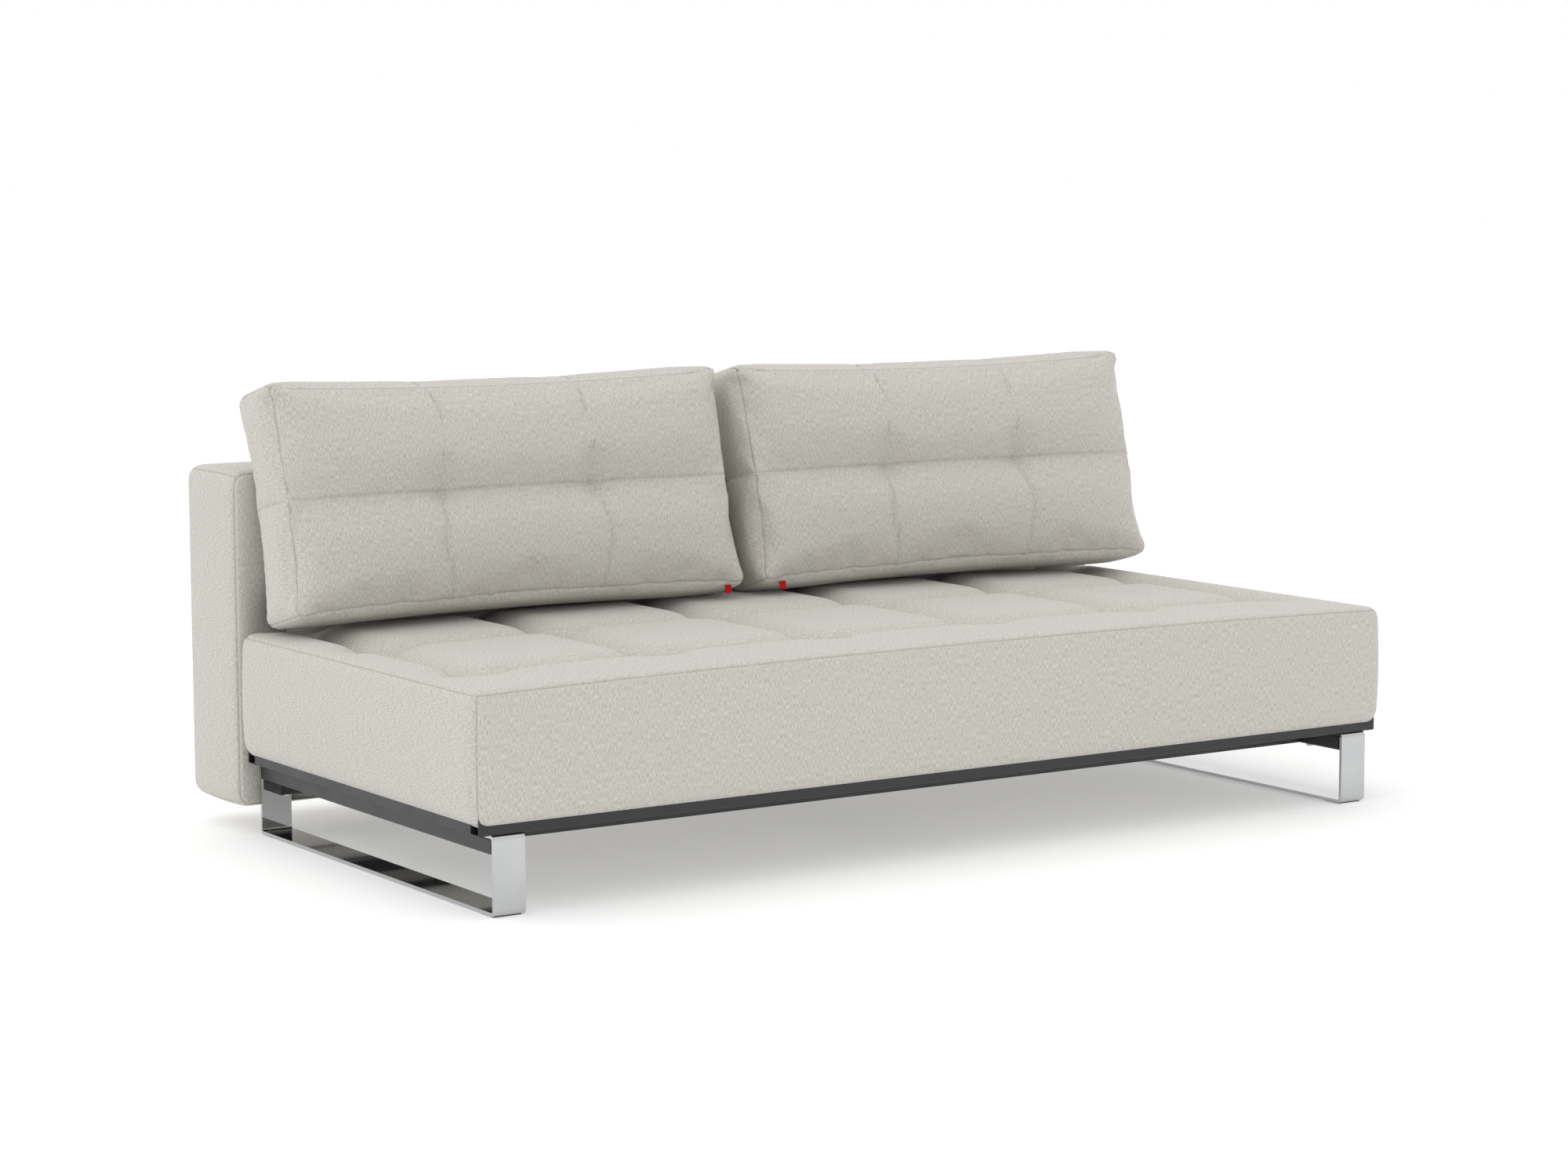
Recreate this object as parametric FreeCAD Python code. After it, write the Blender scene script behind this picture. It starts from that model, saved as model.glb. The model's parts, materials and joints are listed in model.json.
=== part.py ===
"""Click clack sofa bed: a quilted box seat on two flat-bar sleds, a back that lifts on
arms and turns flat behind the seat, a fold-out support leg and two loose cushions.

Millimetres. +Z is up, +X is to the sitter's left, the front faces -Y. The origin is on
the floor, under the middle of the whole sofa. The back is modelled upright.
"""

import FreeCAD
import Part
import cmath
import math
import os
from FreeCAD import Placement, Rotation, Vector

# Driving dimensions of the upholstery
overall_width = 2000.0
seat_depth = 916.0
seat_back_gap = 5.0
back_thickness = 218.0
seat_bottom_z = 143.0
seat_rim_z = 378.0
back_bottom_z = 47.0
back_height = 631.0
bed_gap = 6.0
pad_corner_radius = 26.0
pad_edge_radius = 26.0
cover_wall = 12.0
cover_top_wall = 48.0
back_cover_wall = 14.0
fit_gap = 0.3

# Quilting, heights counted from the rim of the panel
tuft_pitch = 352.0
tuft_side_margin = 120.0
tuft_front_margin = 227.5
back_tuft_height = 361.0
tuft_drop = 33.0
seam_drop = 15.0
panel_crown = 13.0
edge_rise = 4.0
trim_margin = 3.0

# Chrome sleds
bar_width = 60.0
bar_thickness = 6.0
sled_inset_x = 40.0
sled_setback = 12.5
sled_length = 894.0
sled_height = 138.0
sled_bend_radius = 9.0
glide_thickness = 2.0
glide_length = 40.0

# Black steel under-frame
rail_height = 27.0
rail_wall = 2.0
rail_edge_radius = 3.0
front_rail_depth = 30.0
front_rail_setback = 132.5
rear_tube_depth = 38.0
rear_tube_setback = 862.5
rear_tube_inset_x = 65.0
end_cap_thickness = 3.0
end_cap_plug = 10.0
bolt_radius = 4.0
bolt_hole_gap = 0.2
bolt_head_radius = 7.0
bolt_head_height = 5.0
bolt_grip = 10.0
bolt_inset_x = 15.0

# Seat base inside the cover
seat_frame_width = 30.0
seat_frame_height = 50.0
slat_count = 14
slat_width = 53.0
slat_thickness = 8.0
slat_bow = 12.0
slat_end_margin = 90.0
holder_height = 14.0
holder_length = 46.0
holder_wall = 3.0
lining_thickness = 1.2
lining_lift = 12.0

# Lift arms and their pivots
arm_turn_deg = 88.0
arm_pivot_behind_seat = 8.0
arm_pivot_z = 94.0
arm_plane_x = 830.0
arm_thickness = 8.0
arm_hub_radius = 13.0
arm_tip_radius = 21.0
ear_thickness = 5.0
ear_radius = 12.0
side_play = 1.0
pivot_radius = 6.0
pivot_clearance = 0.06
pin_head_height = 3.0
bracket_base_thickness = 4.0
bracket_side_lap = 4.0
pocket_side_gap = 6.0
pocket_front_height = 66.0
pocket_rear_height = 50.0

# Click clack ratchet
tooth_count = 9
tooth_pitch_deg = 12.0
tooth_first_deg = 84.0
tooth_height = 4.5
pawl_pivot_y = 24.0
pawl_pivot_z = 47.0
pawl_hub_radius = 8.0
pawl_pin_radius = 4.0
pawl_lift = 1.6
pawl_toe_width = 9.0
spring_leaf_thickness = 1.0

# Back frame inside the cover
back_tube = 25.0
back_tube_wall = 2.0
back_frame_inset = 30.0
back_frame_bottom = 101.0
spring_count = 9
spring_band = 4.0
spring_wave = 18.0
spring_turns = 10

# Fold-out support leg
leg_spacing = 1240.0
leg_bar_width = 40.0
leg_bar_thickness = 6.0
leg_height_on_back = 540.0
leg_barrel_radius = 6.0
leg_pin_radius = 4.0
leg_ear_gap = 1.0
leg_foot_length = 60.0
leg_ear_thickness = 4.0
leg_strap_height = 30.0
leg_strap_thickness = 3.0

# Loose back cushions
cushion_width = 966.0
cushion_height = 438.0
cushion_gusset = 140.0
cushion_crown = 26.0
cushion_tuft_drop = -3.0
cushion_seam_rise = 15.0
cushion_lean_deg = 14.0
cushion_draw_in = 12.0
cushion_wall = 22.0
left_cushion_x = -491.0
right_cushion_x = 511.0
cushion_rear_share = 0.3
cushion_start_gap = 130.0
tab_width = 14.0
tab_length = 16.0
tab_thickness = 2.0

# Places worked out from the driving dimensions
half_width = overall_width / 2
leg_stack = leg_ear_gap + 2 * leg_barrel_radius
overall_depth = seat_depth + seat_back_gap + back_thickness + leg_stack
seat_front_y = -overall_depth / 2
seat_rear_y = seat_front_y + seat_depth
back_front_y = seat_rear_y + seat_back_gap
back_rear_y = back_front_y + back_thickness
back_top_z = back_bottom_z + back_height
sled_front_y = seat_front_y + sled_setback
sled_rear_y = sled_front_y + sled_length
sled_outer_x = half_width - sled_inset_x
sled_inner_x = sled_outer_x - bar_width
rail_top_z = sled_height - bar_thickness
rail_bottom_z = rail_top_z - rail_height
rear_tube_front_y = seat_front_y + rear_tube_setback
rear_tube_rear_y = rear_tube_front_y + rear_tube_depth
rear_tube_top_z = rail_bottom_z
rear_tube_bottom_z = rear_tube_top_z - rail_height
seat_frame_top_z = sled_height + seat_frame_height
slat_top_z = seat_frame_top_z + slat_thickness + slat_bow
seat_cavity_top_z = seat_rim_z - cover_top_wall
bolt_x = sled_inner_x + bolt_inset_x

# Planes of the mechanism across the width, counted from the arm outwards and inwards
arm_in_x = arm_plane_x - arm_thickness / 2
arm_out_x = arm_plane_x + arm_thickness / 2
outer_ear_x = arm_out_x + side_play
inner_ear_x = arm_in_x - side_play - ear_thickness
bracket_in_x = inner_ear_x - bracket_side_lap
bracket_out_x = outer_ear_x + ear_thickness + bracket_side_lap
pocket_in_x = bracket_in_x - pocket_side_gap
pocket_out_x = bracket_out_x + pocket_side_gap


def back_turn_pole():
    """The point about which the whole move of the back is a quarter turn to the rear."""
    rest = complex(back_front_y, back_bottom_z)
    flat = complex(seat_rear_y + bed_gap, seat_rim_z)
    return (flat + 1j * rest) / (1 + 1j)


def back_pivot(arm_pivot):
    """Pivot on the back that the arm carries so that the back lands flush with the seat."""
    pole = back_turn_pole()
    turn = cmath.exp(1j * math.radians(arm_turn_deg))
    return (pole * (1 + 1j) - arm_pivot * (1 - turn)) / (turn + 1j)


arm_pivot_at = complex(seat_rear_y + arm_pivot_behind_seat, arm_pivot_z)
back_pivot_at = back_pivot(arm_pivot_at)
pawl_at = back_pivot_at + complex(pawl_pivot_y, pawl_pivot_z)


# Shared shapes
def box(x0, x1, y0, y1, z0, z1):
    return Part.makeBox(x1 - x0, y1 - y0, z1 - z0, Vector(x0, y0, z0))


def rod_x(at, radius, x0, x1):
    return Part.makeCylinder(radius, x1 - x0, Vector(x0, at.real, at.imag), Vector(1, 0, 0))


def rod_z(x, y, radius, z0, z1):
    return Part.makeCylinder(radius, z1 - z0, Vector(x, y, z0))


def fuse(shapes):
    joined = shapes[0].multiFuse(shapes[1:]) if len(shapes) > 1 else shapes[0]
    return joined.removeSplitter()


def mirrored(shape):
    """The same piece on the other side of the sofa."""
    return shape.mirror(Vector(0, 0, 0), Vector(1, 0, 0))


def both_sides(shape):
    """The piece and its mirror image, as separate solids."""
    return Part.makeCompound([mirrored(shape), shape])


def rounded_loop(u0, u1, v0, v1, radius, place, sag_u=0.0, sag_v=0.0):
    """Closed outline with rounded corners. sag bows the sides out, or in when negative."""
    centres = ((u1 - radius, v1 - radius, 0), (u0 + radius, v1 - radius, 90),
               (u0 + radius, v0 + radius, 180), (u1 - radius, v0 + radius, 270))
    corners = []
    for cu, cv, start in centres:
        arc = []
        for step in (0, 45, 90):
            angle = math.radians(start + step)
            arc.append((cu + radius * math.cos(angle), cv + radius * math.sin(angle)))
        corners.append(arc)
    sags = ((0, sag_v), (-sag_u, 0), (0, -sag_v), (sag_u, 0))
    edges = []
    for i, arc in enumerate(corners):
        edges.append(Part.Arc(*[place(*p) for p in arc]).toShape())
        end = arc[2]
        following = corners[(i + 1) % 4][0]
        du, dv = sags[i]
        if du or dv:
            mid = ((end[0] + following[0]) / 2 + du, (end[1] + following[1]) / 2 + dv)
            edges.append(Part.Arc(place(*end), place(*mid), place(*following)).toShape())
        else:
            edges.append(Part.makeLine(place(*end), place(*following)))
    return Part.Wire(edges)


def tube(x0, x1, y0, y1, z0, z1, along, wall=rail_wall, radius=rail_edge_radius):
    """Rectangular steel tube along X or Y with rounded edges and open ends."""
    outer = box(x0, x1, y0, y1, z0, z1)
    length = x1 - x0 if along == "x" else y1 - y0
    across = [e for e in outer.Edges if abs(e.Length - length) < 1e-6]
    outer = outer.makeFillet(radius, across)
    if along == "x":
        return outer.cut(box(x0 - 1, x1 + 1, y0 + wall, y1 - wall, z0 + wall, z1 - wall))
    return outer.cut(box(x0 + wall, x1 - wall, y0 - 1, y1 + 1, z0 + wall, z1 - wall))


def strap_plate(first, second, first_radius, second_radius, x0, x1):
    """Flat link with round ends joined by tangent edges, lying across X."""
    gap = abs(second - first)
    heading = cmath.phase(second - first)
    flare = math.acos((first_radius - second_radius) / gap)

    def point(centre, radius, angle):
        spot = centre + cmath.rect(radius, angle)
        return Vector(x0, spot.real, spot.imag)

    up, down = heading + flare, heading - flare
    edges = [
        Part.makeLine(point(first, first_radius, up), point(second, second_radius, up)),
        Part.Arc(point(second, second_radius, up), point(second, second_radius, heading),
                 point(second, second_radius, down)).toShape(),
        Part.makeLine(point(second, second_radius, down), point(first, first_radius, down)),
        Part.Arc(point(first, first_radius, down), point(first, first_radius, heading + math.pi),
                 point(first, first_radius, up)).toShape(),
    ]
    return Part.Face(Part.Wire(edges)).extrude(Vector(x1 - x0, 0, 0))


def hex_bolt(at, heading, length):
    """Hexagon head against the face at `at`, with its shank along heading."""
    across = Vector(1, 0, 0) if abs(heading.z) > 0.5 else Vector(0, 0, 1)
    corners = []
    for i in range(7):
        turn = Rotation(heading, 60 * i)
        corners.append(at + turn.multVec(across) * bolt_head_radius)
    head = Part.Face(Part.makePolygon(corners)).extrude(heading * -bolt_head_height)
    return fuse([head, Part.makeCylinder(bolt_radius, length, at, heading)])


def bolt_hole_z(x, y, z0, z1):
    return rod_z(x, y, bolt_radius + bolt_hole_gap, z0, z1)


# Quilted pads: a block with a tufted face, trimmed by a lofted outline
def knot_heights(x_index, y_index, x_last, y_last, rim, drops):
    """Height of the face at a half-knot of the quilting grid. Even indexes are seam lines."""
    tuft, seam, crown, rise = drops
    on_side = x_index in (0, x_last)
    on_end = y_index in (0, y_last)
    if on_end:
        return rim + (rise if x_index % 2 else 0.0)
    if on_side:
        return rim
    if x_index % 2 and y_index % 2:
        return rim + crown
    if x_index % 2 == 0 and y_index % 2 == 0:
        return rim - tuft
    near_edge = x_index in (1, x_last - 1) or y_index in (1, y_last - 1)
    if near_edge:
        return rim - seam / 2
    return rim - seam


def quilt_section(y, heights, x_points, floor):
    """One cross-section: an arc for each quilted field over a straight floor or a crowned one."""
    edges = []
    for i in range(0, len(x_points) - 2, 2):
        stops = [Vector(x_points[k], y, heights[k]) for k in (i, i + 1, i + 2)]
        edges.append(Part.Arc(*stops).toShape())
    low = [Vector(x_points[k], y, floor[k]) for k in range(len(x_points))]
    top_end = Vector(x_points[-1], y, heights[-1])
    top_start = Vector(x_points[0], y, heights[0])
    edges.append(Part.makeLine(top_end, low[-1]))
    if max(floor) - min(floor) < 1e-6:
        edges.append(Part.makeLine(low[-1], low[0]))
    else:
        for i in range(len(low) - 1, 1, -2):
            edges.append(Part.Arc(low[i], low[i - 1], low[i - 2]).toShape())
    edges.append(Part.makeLine(low[0], top_start))
    return Part.Wire(edges)


def half_knots(knots):
    points = []
    for a, b in zip(knots, knots[1:]):
        points += [a, (a + b) / 2]
    return points + [knots[-1]]


def widened(places):
    """Move both ends out so that the outline trims every edge."""
    return [places[0] - trim_margin] + places[1:-1] + [places[-1] + trim_margin]


def quilt_block(x_knots, y_knots, floor_z, rim_z, drops, rear_share=0.0):
    """Loft through the cross-sections, one span for each row of quilted fields."""
    xs = widened(half_knots(x_knots))
    ys = widened(half_knots(y_knots))
    sections = []
    for j, y in enumerate(ys):
        tops = []
        for i in range(len(xs)):
            tops.append(knot_heights(i, j, len(xs) - 1, len(ys) - 1, rim_z, drops))
        floor = [floor_z - rear_share * (top - rim_z) for top in tops]
        sections.append(quilt_section(y, tops, xs, floor))
    spans = []
    for j in range(0, len(sections) - 2, 2):
        spans.append(Part.makeLoft(sections[j:j + 3], True, False))
    return fuse(spans)


def outline_loft(x0, x1, y0, y1, radius, levels, sag_x=0.0, sag_y=0.0):
    """Outer form: levels lists (z, inset of the sides, inset of the near end, of the far end)."""
    wires = []
    for z, side, near, far in levels:
        def place(u, v, z=z):
            return Vector(u, v, z)
        wires.append(rounded_loop(x0 + side, x1 - side, y0 + near, y1 - far, radius, place,
                                  sag_x, sag_y))
    return Part.makeLoft(wires, True, True)


def rounded_edge(radius):
    """Height over the face and inset of the side, at steps round a rounded edge."""
    steps = [math.radians(angle) for angle in (0, 30, 60, 90)]
    return [(radius * (1 - math.cos(a)), radius * (1 - math.sin(a))) for a in steps]


def tuft_knots(low, high, first, pitch):
    """Seam lines from one edge of a panel to the other, the first one set in from low."""
    knots = [low]
    at = low + first
    while at < high - pitch * 0.2:
        knots.append(at)
        at += pitch
    knots.append(high)
    return knots


# Seat
def seat_pad_form():
    x_knots = tuft_knots(-half_width, half_width, tuft_side_margin, tuft_pitch)
    y_knots = tuft_knots(seat_front_y, seat_rear_y, tuft_front_margin, tuft_pitch)
    drops = (tuft_drop, seam_drop, panel_crown, edge_rise)
    block = quilt_block(x_knots, y_knots, seat_bottom_z - 1, seat_rim_z, drops)
    levels = [(seat_bottom_z + rise, inset, inset, inset)
              for rise, inset in rounded_edge(pad_edge_radius)]
    levels += [(seat_rim_z - 30, 1, 1, 1), (seat_rim_z + 20, 3, 3, 3)]
    outline = outline_loft(-half_width, half_width, seat_front_y, seat_rear_y,
                           pad_corner_radius, levels)
    return block.common(outline)


def seat_cavity():
    return box(-half_width + cover_wall, half_width - cover_wall,
               seat_front_y + cover_wall, seat_rear_y - cover_wall,
               seat_bottom_z - 5, seat_cavity_top_z)


def make_seat_cover():
    return seat_pad.cut(seat_cavity())


def make_seat_foam():
    inset = cover_wall + fit_gap
    return box(-half_width + inset, half_width - inset, seat_front_y + inset,
               seat_rear_y - inset, slat_top_z + fit_gap, seat_cavity_top_z - fit_gap)


def seat_frame_span():
    """Outer corners of the seat frame in plan."""
    inset = cover_wall + 3.0
    return (-half_width + inset, half_width - inset, seat_front_y + inset, seat_rear_y - inset)


def make_seat_frame_front():
    x0, x1, y0, y1 = seat_frame_span()
    return tube(x0, x1, y0, y0 + seat_frame_width, sled_height, seat_frame_top_z, "x")


def make_seat_frame_rear():
    x0, x1, y0, y1 = seat_frame_span()
    member = tube(x0, x1, y1 - seat_frame_width, y1, sled_height, seat_frame_top_z, "x")
    for x, y in bolt_places():
        if y > y1 - seat_frame_width:
            member = member.cut(bolt_hole_z(x, y, sled_height - 1, sled_height + rail_wall + 1))
    return member


def seat_frame_end(x_in):
    x0, x1, y0, y1 = seat_frame_span()
    end = tube(x_in, x_in + seat_frame_width, y0 + seat_frame_width, y1 - seat_frame_width,
               sled_height, seat_frame_top_z, "y")
    return end


def bolt_places_y():
    """One bolt through the front of each side rail and one through the rear tube."""
    return [sled_front_y + 0.12 * sled_length, (rear_tube_front_y + rear_tube_rear_y) / 2]


def bolt_places():
    return [(side * bolt_x, y) for side in (-1, 1) for y in bolt_places_y()]


def make_seat_frame_ends():
    x0, x1, y0, y1 = seat_frame_span()
    left = seat_frame_end(x0)
    right = seat_frame_end(x1 - seat_frame_width)
    return Part.makeCompound([left, right])


def make_seat_frame_bearers():
    """Two cross members over the sleds, and one in the middle, that take the bolts."""
    x0, x1, y0, y1 = seat_frame_span()
    bearers = []
    for x in (-bolt_x, 0, bolt_x):
        bearer = tube(x - seat_frame_width / 2, x + seat_frame_width / 2,
                      y0 + seat_frame_width, y1 - seat_frame_width,
                      sled_height, sled_height + seat_frame_height - 20, "y")
        for hole_x, y in bolt_places():
            if hole_x == x and y < y1 - seat_frame_width:
                bearer = bearer.cut(bolt_hole_z(x, y, sled_height - 1, sled_height + rail_wall + 1))
        bearers.append(bearer)
    return Part.makeCompound(bearers)


def slat_places():
    span = overall_width - 2 * slat_end_margin
    return [-span / 2 + i * span / (slat_count - 1) for i in range(slat_count)]


def make_slats():
    """Sprung slats, front to back, each bowed upwards."""
    x0, x1, y0, y1 = seat_frame_span()
    ends = (y0 + seat_frame_width / 2, y1 - seat_frame_width / 2)
    low = seat_frame_top_z + holder_wall
    mid_y = (ends[0] + ends[1]) / 2
    slats = []
    for x in slat_places():
        at = x - slat_width / 2
        bottom = Part.Arc(Vector(at, ends[0], low), Vector(at, mid_y, low + slat_bow - holder_wall),
                          Vector(at, ends[1], low)).toShape()
        top = Part.Arc(Vector(at, ends[1], low + slat_thickness),
                       Vector(at, mid_y, low + slat_thickness + slat_bow - holder_wall),
                       Vector(at, ends[0], low + slat_thickness)).toShape()
        rise = Part.makeLine(Vector(at, ends[1], low), Vector(at, ends[1], low + slat_thickness))
        fall = Part.makeLine(Vector(at, ends[0], low + slat_thickness), Vector(at, ends[0], low))
        profile = Part.Face(Part.Wire([bottom, rise, top, fall]))
        slats.append(profile.extrude(Vector(slat_width, 0, 0)))
    return Part.makeCompound(slats)


def make_slat_holders():
    """Plastic cups that clip on the frame and take the slat ends."""
    x0, x1, y0, y1 = seat_frame_span()
    holders = []
    slot_low = seat_frame_top_z + holder_wall - fit_gap
    slot_high = seat_frame_top_z + holder_wall + slat_thickness + 1.5
    for x in slat_places():
        for front in (True, False):
            outer_y = y0 + 2 if front else y1 - 2 - holder_length
            cup = box(x - slat_width / 2 - holder_wall, x + slat_width / 2 + holder_wall,
                      outer_y, outer_y + holder_length,
                      seat_frame_top_z, seat_frame_top_z + holder_height)
            stop = seat_frame_width / 2 - 2 - fit_gap
            slot_y0 = outer_y + stop if front else outer_y - 1
            slot_y1 = outer_y + holder_length + 1 if front else outer_y + holder_length - stop
            slot = box(x - slat_width / 2 - fit_gap, x + slat_width / 2 + fit_gap,
                       slot_y0, slot_y1, slot_low, slot_high)
            holders.append(cup.cut(slot))
    return Part.makeCompound(holders)


def make_seat_lining():
    """Black dust cover stapled between the frame members, with the bearers above it cut out."""
    x0, x1, y0, y1 = seat_frame_span()
    inner = bolt_x - seat_frame_width / 2 - fit_gap
    z0 = sled_height + lining_lift
    panels = []
    for a, b in ((-inner, -seat_frame_width / 2 - fit_gap), (seat_frame_width / 2 + fit_gap, inner)):
        panels.append(box(a, b, y0 + seat_frame_width + fit_gap, y1 - seat_frame_width - fit_gap,
                          z0, z0 + lining_thickness))
    return Part.makeCompound(panels)


# Sleds and under-frame
def make_sled(side):
    """Closed loop of flat bar: front leg, floor bar, rear leg and top run."""
    near_x = sled_inner_x if side > 0 else -sled_outer_x

    def place(u, v):
        return Vector(near_x, u, v)

    low = glide_thickness
    outer = rounded_loop(sled_front_y, sled_rear_y, low, sled_height, sled_bend_radius, place)
    inner = rounded_loop(sled_front_y + bar_thickness, sled_rear_y - bar_thickness,
                         low + bar_thickness, sled_height - bar_thickness,
                         sled_bend_radius - bar_thickness, place)
    across = Vector(bar_width, 0, 0)
    sled = Part.Face(outer).extrude(across).cut(Part.Face(inner).extrude(across))
    for y in bolt_places_y():
        hole = bolt_hole_z(side * bolt_x, y, sled_height - bar_thickness - 1, sled_height + 1)
        sled = sled.cut(hole)
    return sled


def make_sled_glides():
    glides = []
    for side in (-1, 1):
        for y in (sled_front_y + sled_bend_radius, sled_rear_y - sled_bend_radius - glide_length):
            x = side * (sled_inner_x + sled_outer_x) / 2
            pad = box(x - bar_width / 2 + 4, x + bar_width / 2 - 4, y, y + glide_length,
                      0, glide_thickness)
            glides.append(pad)
    return Part.makeCompound(glides)


def make_left_side_rail():
    end_gap = sled_bend_radius
    rail = tube(-sled_outer_x, -sled_inner_x, sled_front_y + end_gap, sled_rear_y - end_gap,
                rail_bottom_z, rail_top_z, "y")
    for y in bolt_places_y():
        rail = rail.cut(bolt_hole_z(-bolt_x, y, rail_bottom_z - 1, rail_top_z + 1))
    return rail


def cross_rail(setback):
    """Cross tube welded between the side rails."""
    y0 = seat_front_y + setback
    return tube(-sled_inner_x, sled_inner_x, y0, y0 + front_rail_depth, rail_bottom_z,
                rail_top_z, "x")


def make_front_rail():
    return cross_rail(front_rail_setback)


def make_middle_rail():
    return cross_rail((seat_depth - front_rail_depth) / 2)


def make_rear_tube():
    end = half_width - rear_tube_inset_x
    rail = tube(-end, end, rear_tube_front_y, rear_tube_rear_y, rear_tube_bottom_z,
                rear_tube_top_z, "x")
    for x, y in bolt_places():
        if y > rear_tube_front_y:
            rail = rail.cut(bolt_hole_z(x, y, rear_tube_bottom_z - 1, rear_tube_top_z + 1))
    return rail


def make_rear_tube_caps():
    end = half_width - rear_tube_inset_x
    caps = []
    for side in (-1, 1):
        x0 = end if side > 0 else -end - end_cap_thickness
        face = box(x0, x0 + end_cap_thickness, rear_tube_front_y, rear_tube_rear_y,
                   rear_tube_bottom_z, rear_tube_top_z)
        plug_x0 = end - end_cap_plug if side > 0 else -end
        play = rail_wall + fit_gap
        plug = box(plug_x0, plug_x0 + end_cap_plug, rear_tube_front_y + play,
                   rear_tube_rear_y - play, rear_tube_bottom_z + play, rear_tube_top_z - play)
        cap = fuse([face, plug])
        caps.append(cap)
    return Part.makeCompound(caps)


def make_frame_bolts():
    """Long bolts from below through rail and sled into the seat bearers."""
    bolts = []
    for x, y in bolt_places():
        through_tube = y > rear_tube_front_y
        head_z = rear_tube_bottom_z if through_tube else rail_bottom_z
        bolts.append(hex_bolt(Vector(x, y, head_z), Vector(0, 0, 1),
                              sled_height + bolt_grip - head_z))
    return Part.makeCompound(bolts)


# Mechanism, drawn on the right side
def ear(x0):
    """One ear of the seat bracket, round at the arm pivot."""
    z0 = arm_pivot_at.imag - ear_radius
    z1 = arm_pivot_at.imag + ear_radius
    foot = box(x0, x0 + ear_thickness, rear_tube_rear_y + bracket_base_thickness,
               arm_pivot_at.real, z0, z1)
    return fuse([foot, rod_x(arm_pivot_at, ear_radius, x0, x0 + ear_thickness)])


def pivot_bore(at, radius, x0, x1):
    return rod_x(at, radius + pivot_clearance, x0 - 1, x1 + 1)


def make_pivot_brackets():
    """Brackets welded on the rear tube: each a base plate and two ears."""
    base = box(bracket_in_x, bracket_out_x, rear_tube_rear_y,
               rear_tube_rear_y + bracket_base_thickness,
               arm_pivot_at.imag - ear_radius, arm_pivot_at.imag + ear_radius)
    bracket = fuse([base, ear(inner_ear_x), ear(outer_ear_x)])
    far = outer_ear_x + ear_thickness
    return both_sides(bracket.cut(pivot_bore(arm_pivot_at, pivot_radius, inner_ear_x, far)))


def headed_pin(at, radius):
    """Pin across X with a thin head on its outer end, riveted flush on the inner one."""
    x0, x1 = inner_ear_x, outer_ear_x + ear_thickness
    return fuse([rod_x(at, radius, x0, x1), rod_x(at, radius + 2, x1, x1 + pin_head_height)])


def make_seat_pins():
    return both_sides(headed_pin(arm_pivot_at, pivot_radius))


def ratchet_profile(centre, root):
    """Saw teeth round the tip of the arm, on the side away from its shaft."""
    points = []
    for i in range(tooth_count):
        start = math.radians(tooth_first_deg - i * tooth_pitch_deg)
        end = math.radians(tooth_first_deg - (i + 1) * tooth_pitch_deg)
        points.append(centre + cmath.rect(root, start))
        points.append(centre + cmath.rect(root + tooth_height, start))
        points.append(centre + cmath.rect(root, end))
    return points


def make_left_arm():
    """Lift arm: a pivot eye at the seat, a toothed head at the back."""
    shaft = strap_plate(arm_pivot_at, back_pivot_at, arm_hub_radius, arm_tip_radius,
                        arm_in_x, arm_out_x)
    outline = ratchet_profile(back_pivot_at, arm_tip_radius)
    corners = [back_pivot_at] + outline
    vectors = []
    for corner in corners:
        spot = Vector(arm_in_x, corner.real, corner.imag)
        if not vectors or spot.distanceToPoint(vectors[-1]) > 0.01:
            vectors.append(spot)
    teeth = Part.Face(Part.makePolygon(vectors + [vectors[0]])).extrude(Vector(arm_thickness, 0, 0))
    arm = fuse([shaft, teeth])
    for at in (arm_pivot_at, back_pivot_at):
        arm = arm.cut(pivot_bore(at, pivot_radius, arm_in_x, arm_out_x))
    return mirrored(arm)


def make_hinge_brackets():
    """Two plates welded to the back frame that hold the arm and the pawl."""
    top_z = back_frame_floor() + back_tube
    foot = back_pivot_at.imag - arm_hub_radius
    y0 = back_pivot_at.real - 26
    y1 = back_frame_rear_y()
    plates = []
    for x in (inner_ear_x, outer_ear_x):
        plate = box(x, x + ear_thickness, y0, y1, foot, top_z)
        corners = [e for e in plate.Edges if abs(e.BoundBox.XLength - ear_thickness) < 1e-6
                   and e.BoundBox.ZMax < foot + 1]
        plates.append(plate.makeFillet(10, corners))
    far = outer_ear_x + ear_thickness
    bridge = box(inner_ear_x, far, y0, back_frame_front_y(),
                 top_z - bracket_base_thickness, top_z)
    frame_tube = box(inner_ear_x - 1, far + 1, back_frame_front_y(), y1 + 1,
                     back_frame_floor(), top_z + 1)
    bracket = fuse(plates + [bridge]).cut(frame_tube)
    bracket = bracket.cut(pivot_bore(back_pivot_at, pivot_radius, inner_ear_x, far))
    return both_sides(bracket.cut(pivot_bore(pawl_at, pawl_pin_radius, inner_ear_x, far)))


def make_hinge_pins():
    pins = [headed_pin(back_pivot_at, pivot_radius), headed_pin(pawl_at, pawl_pin_radius)]
    return both_sides(Part.makeCompound(pins))


def make_left_pawl():
    """Spring pawl over the toothed head, drawn lifted just clear of the teeth."""
    toe_angle = math.radians(tooth_first_deg + 8)
    reach = arm_tip_radius + tooth_height + pawl_lift
    toe = back_pivot_at + cmath.rect(reach, toe_angle)
    lever = strap_plate(pawl_at, toe + complex(0, pawl_toe_width / 2), pawl_hub_radius,
                        pawl_toe_width / 2, arm_in_x, arm_out_x)
    keep_off = rod_x(back_pivot_at, reach, arm_in_x - 1, arm_out_x + 1)
    bore = rod_x(pawl_at, pawl_pin_radius + pivot_clearance, arm_in_x - 1, arm_out_x + 1)
    return mirrored(lever.cut(keep_off).cut(bore))


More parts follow.
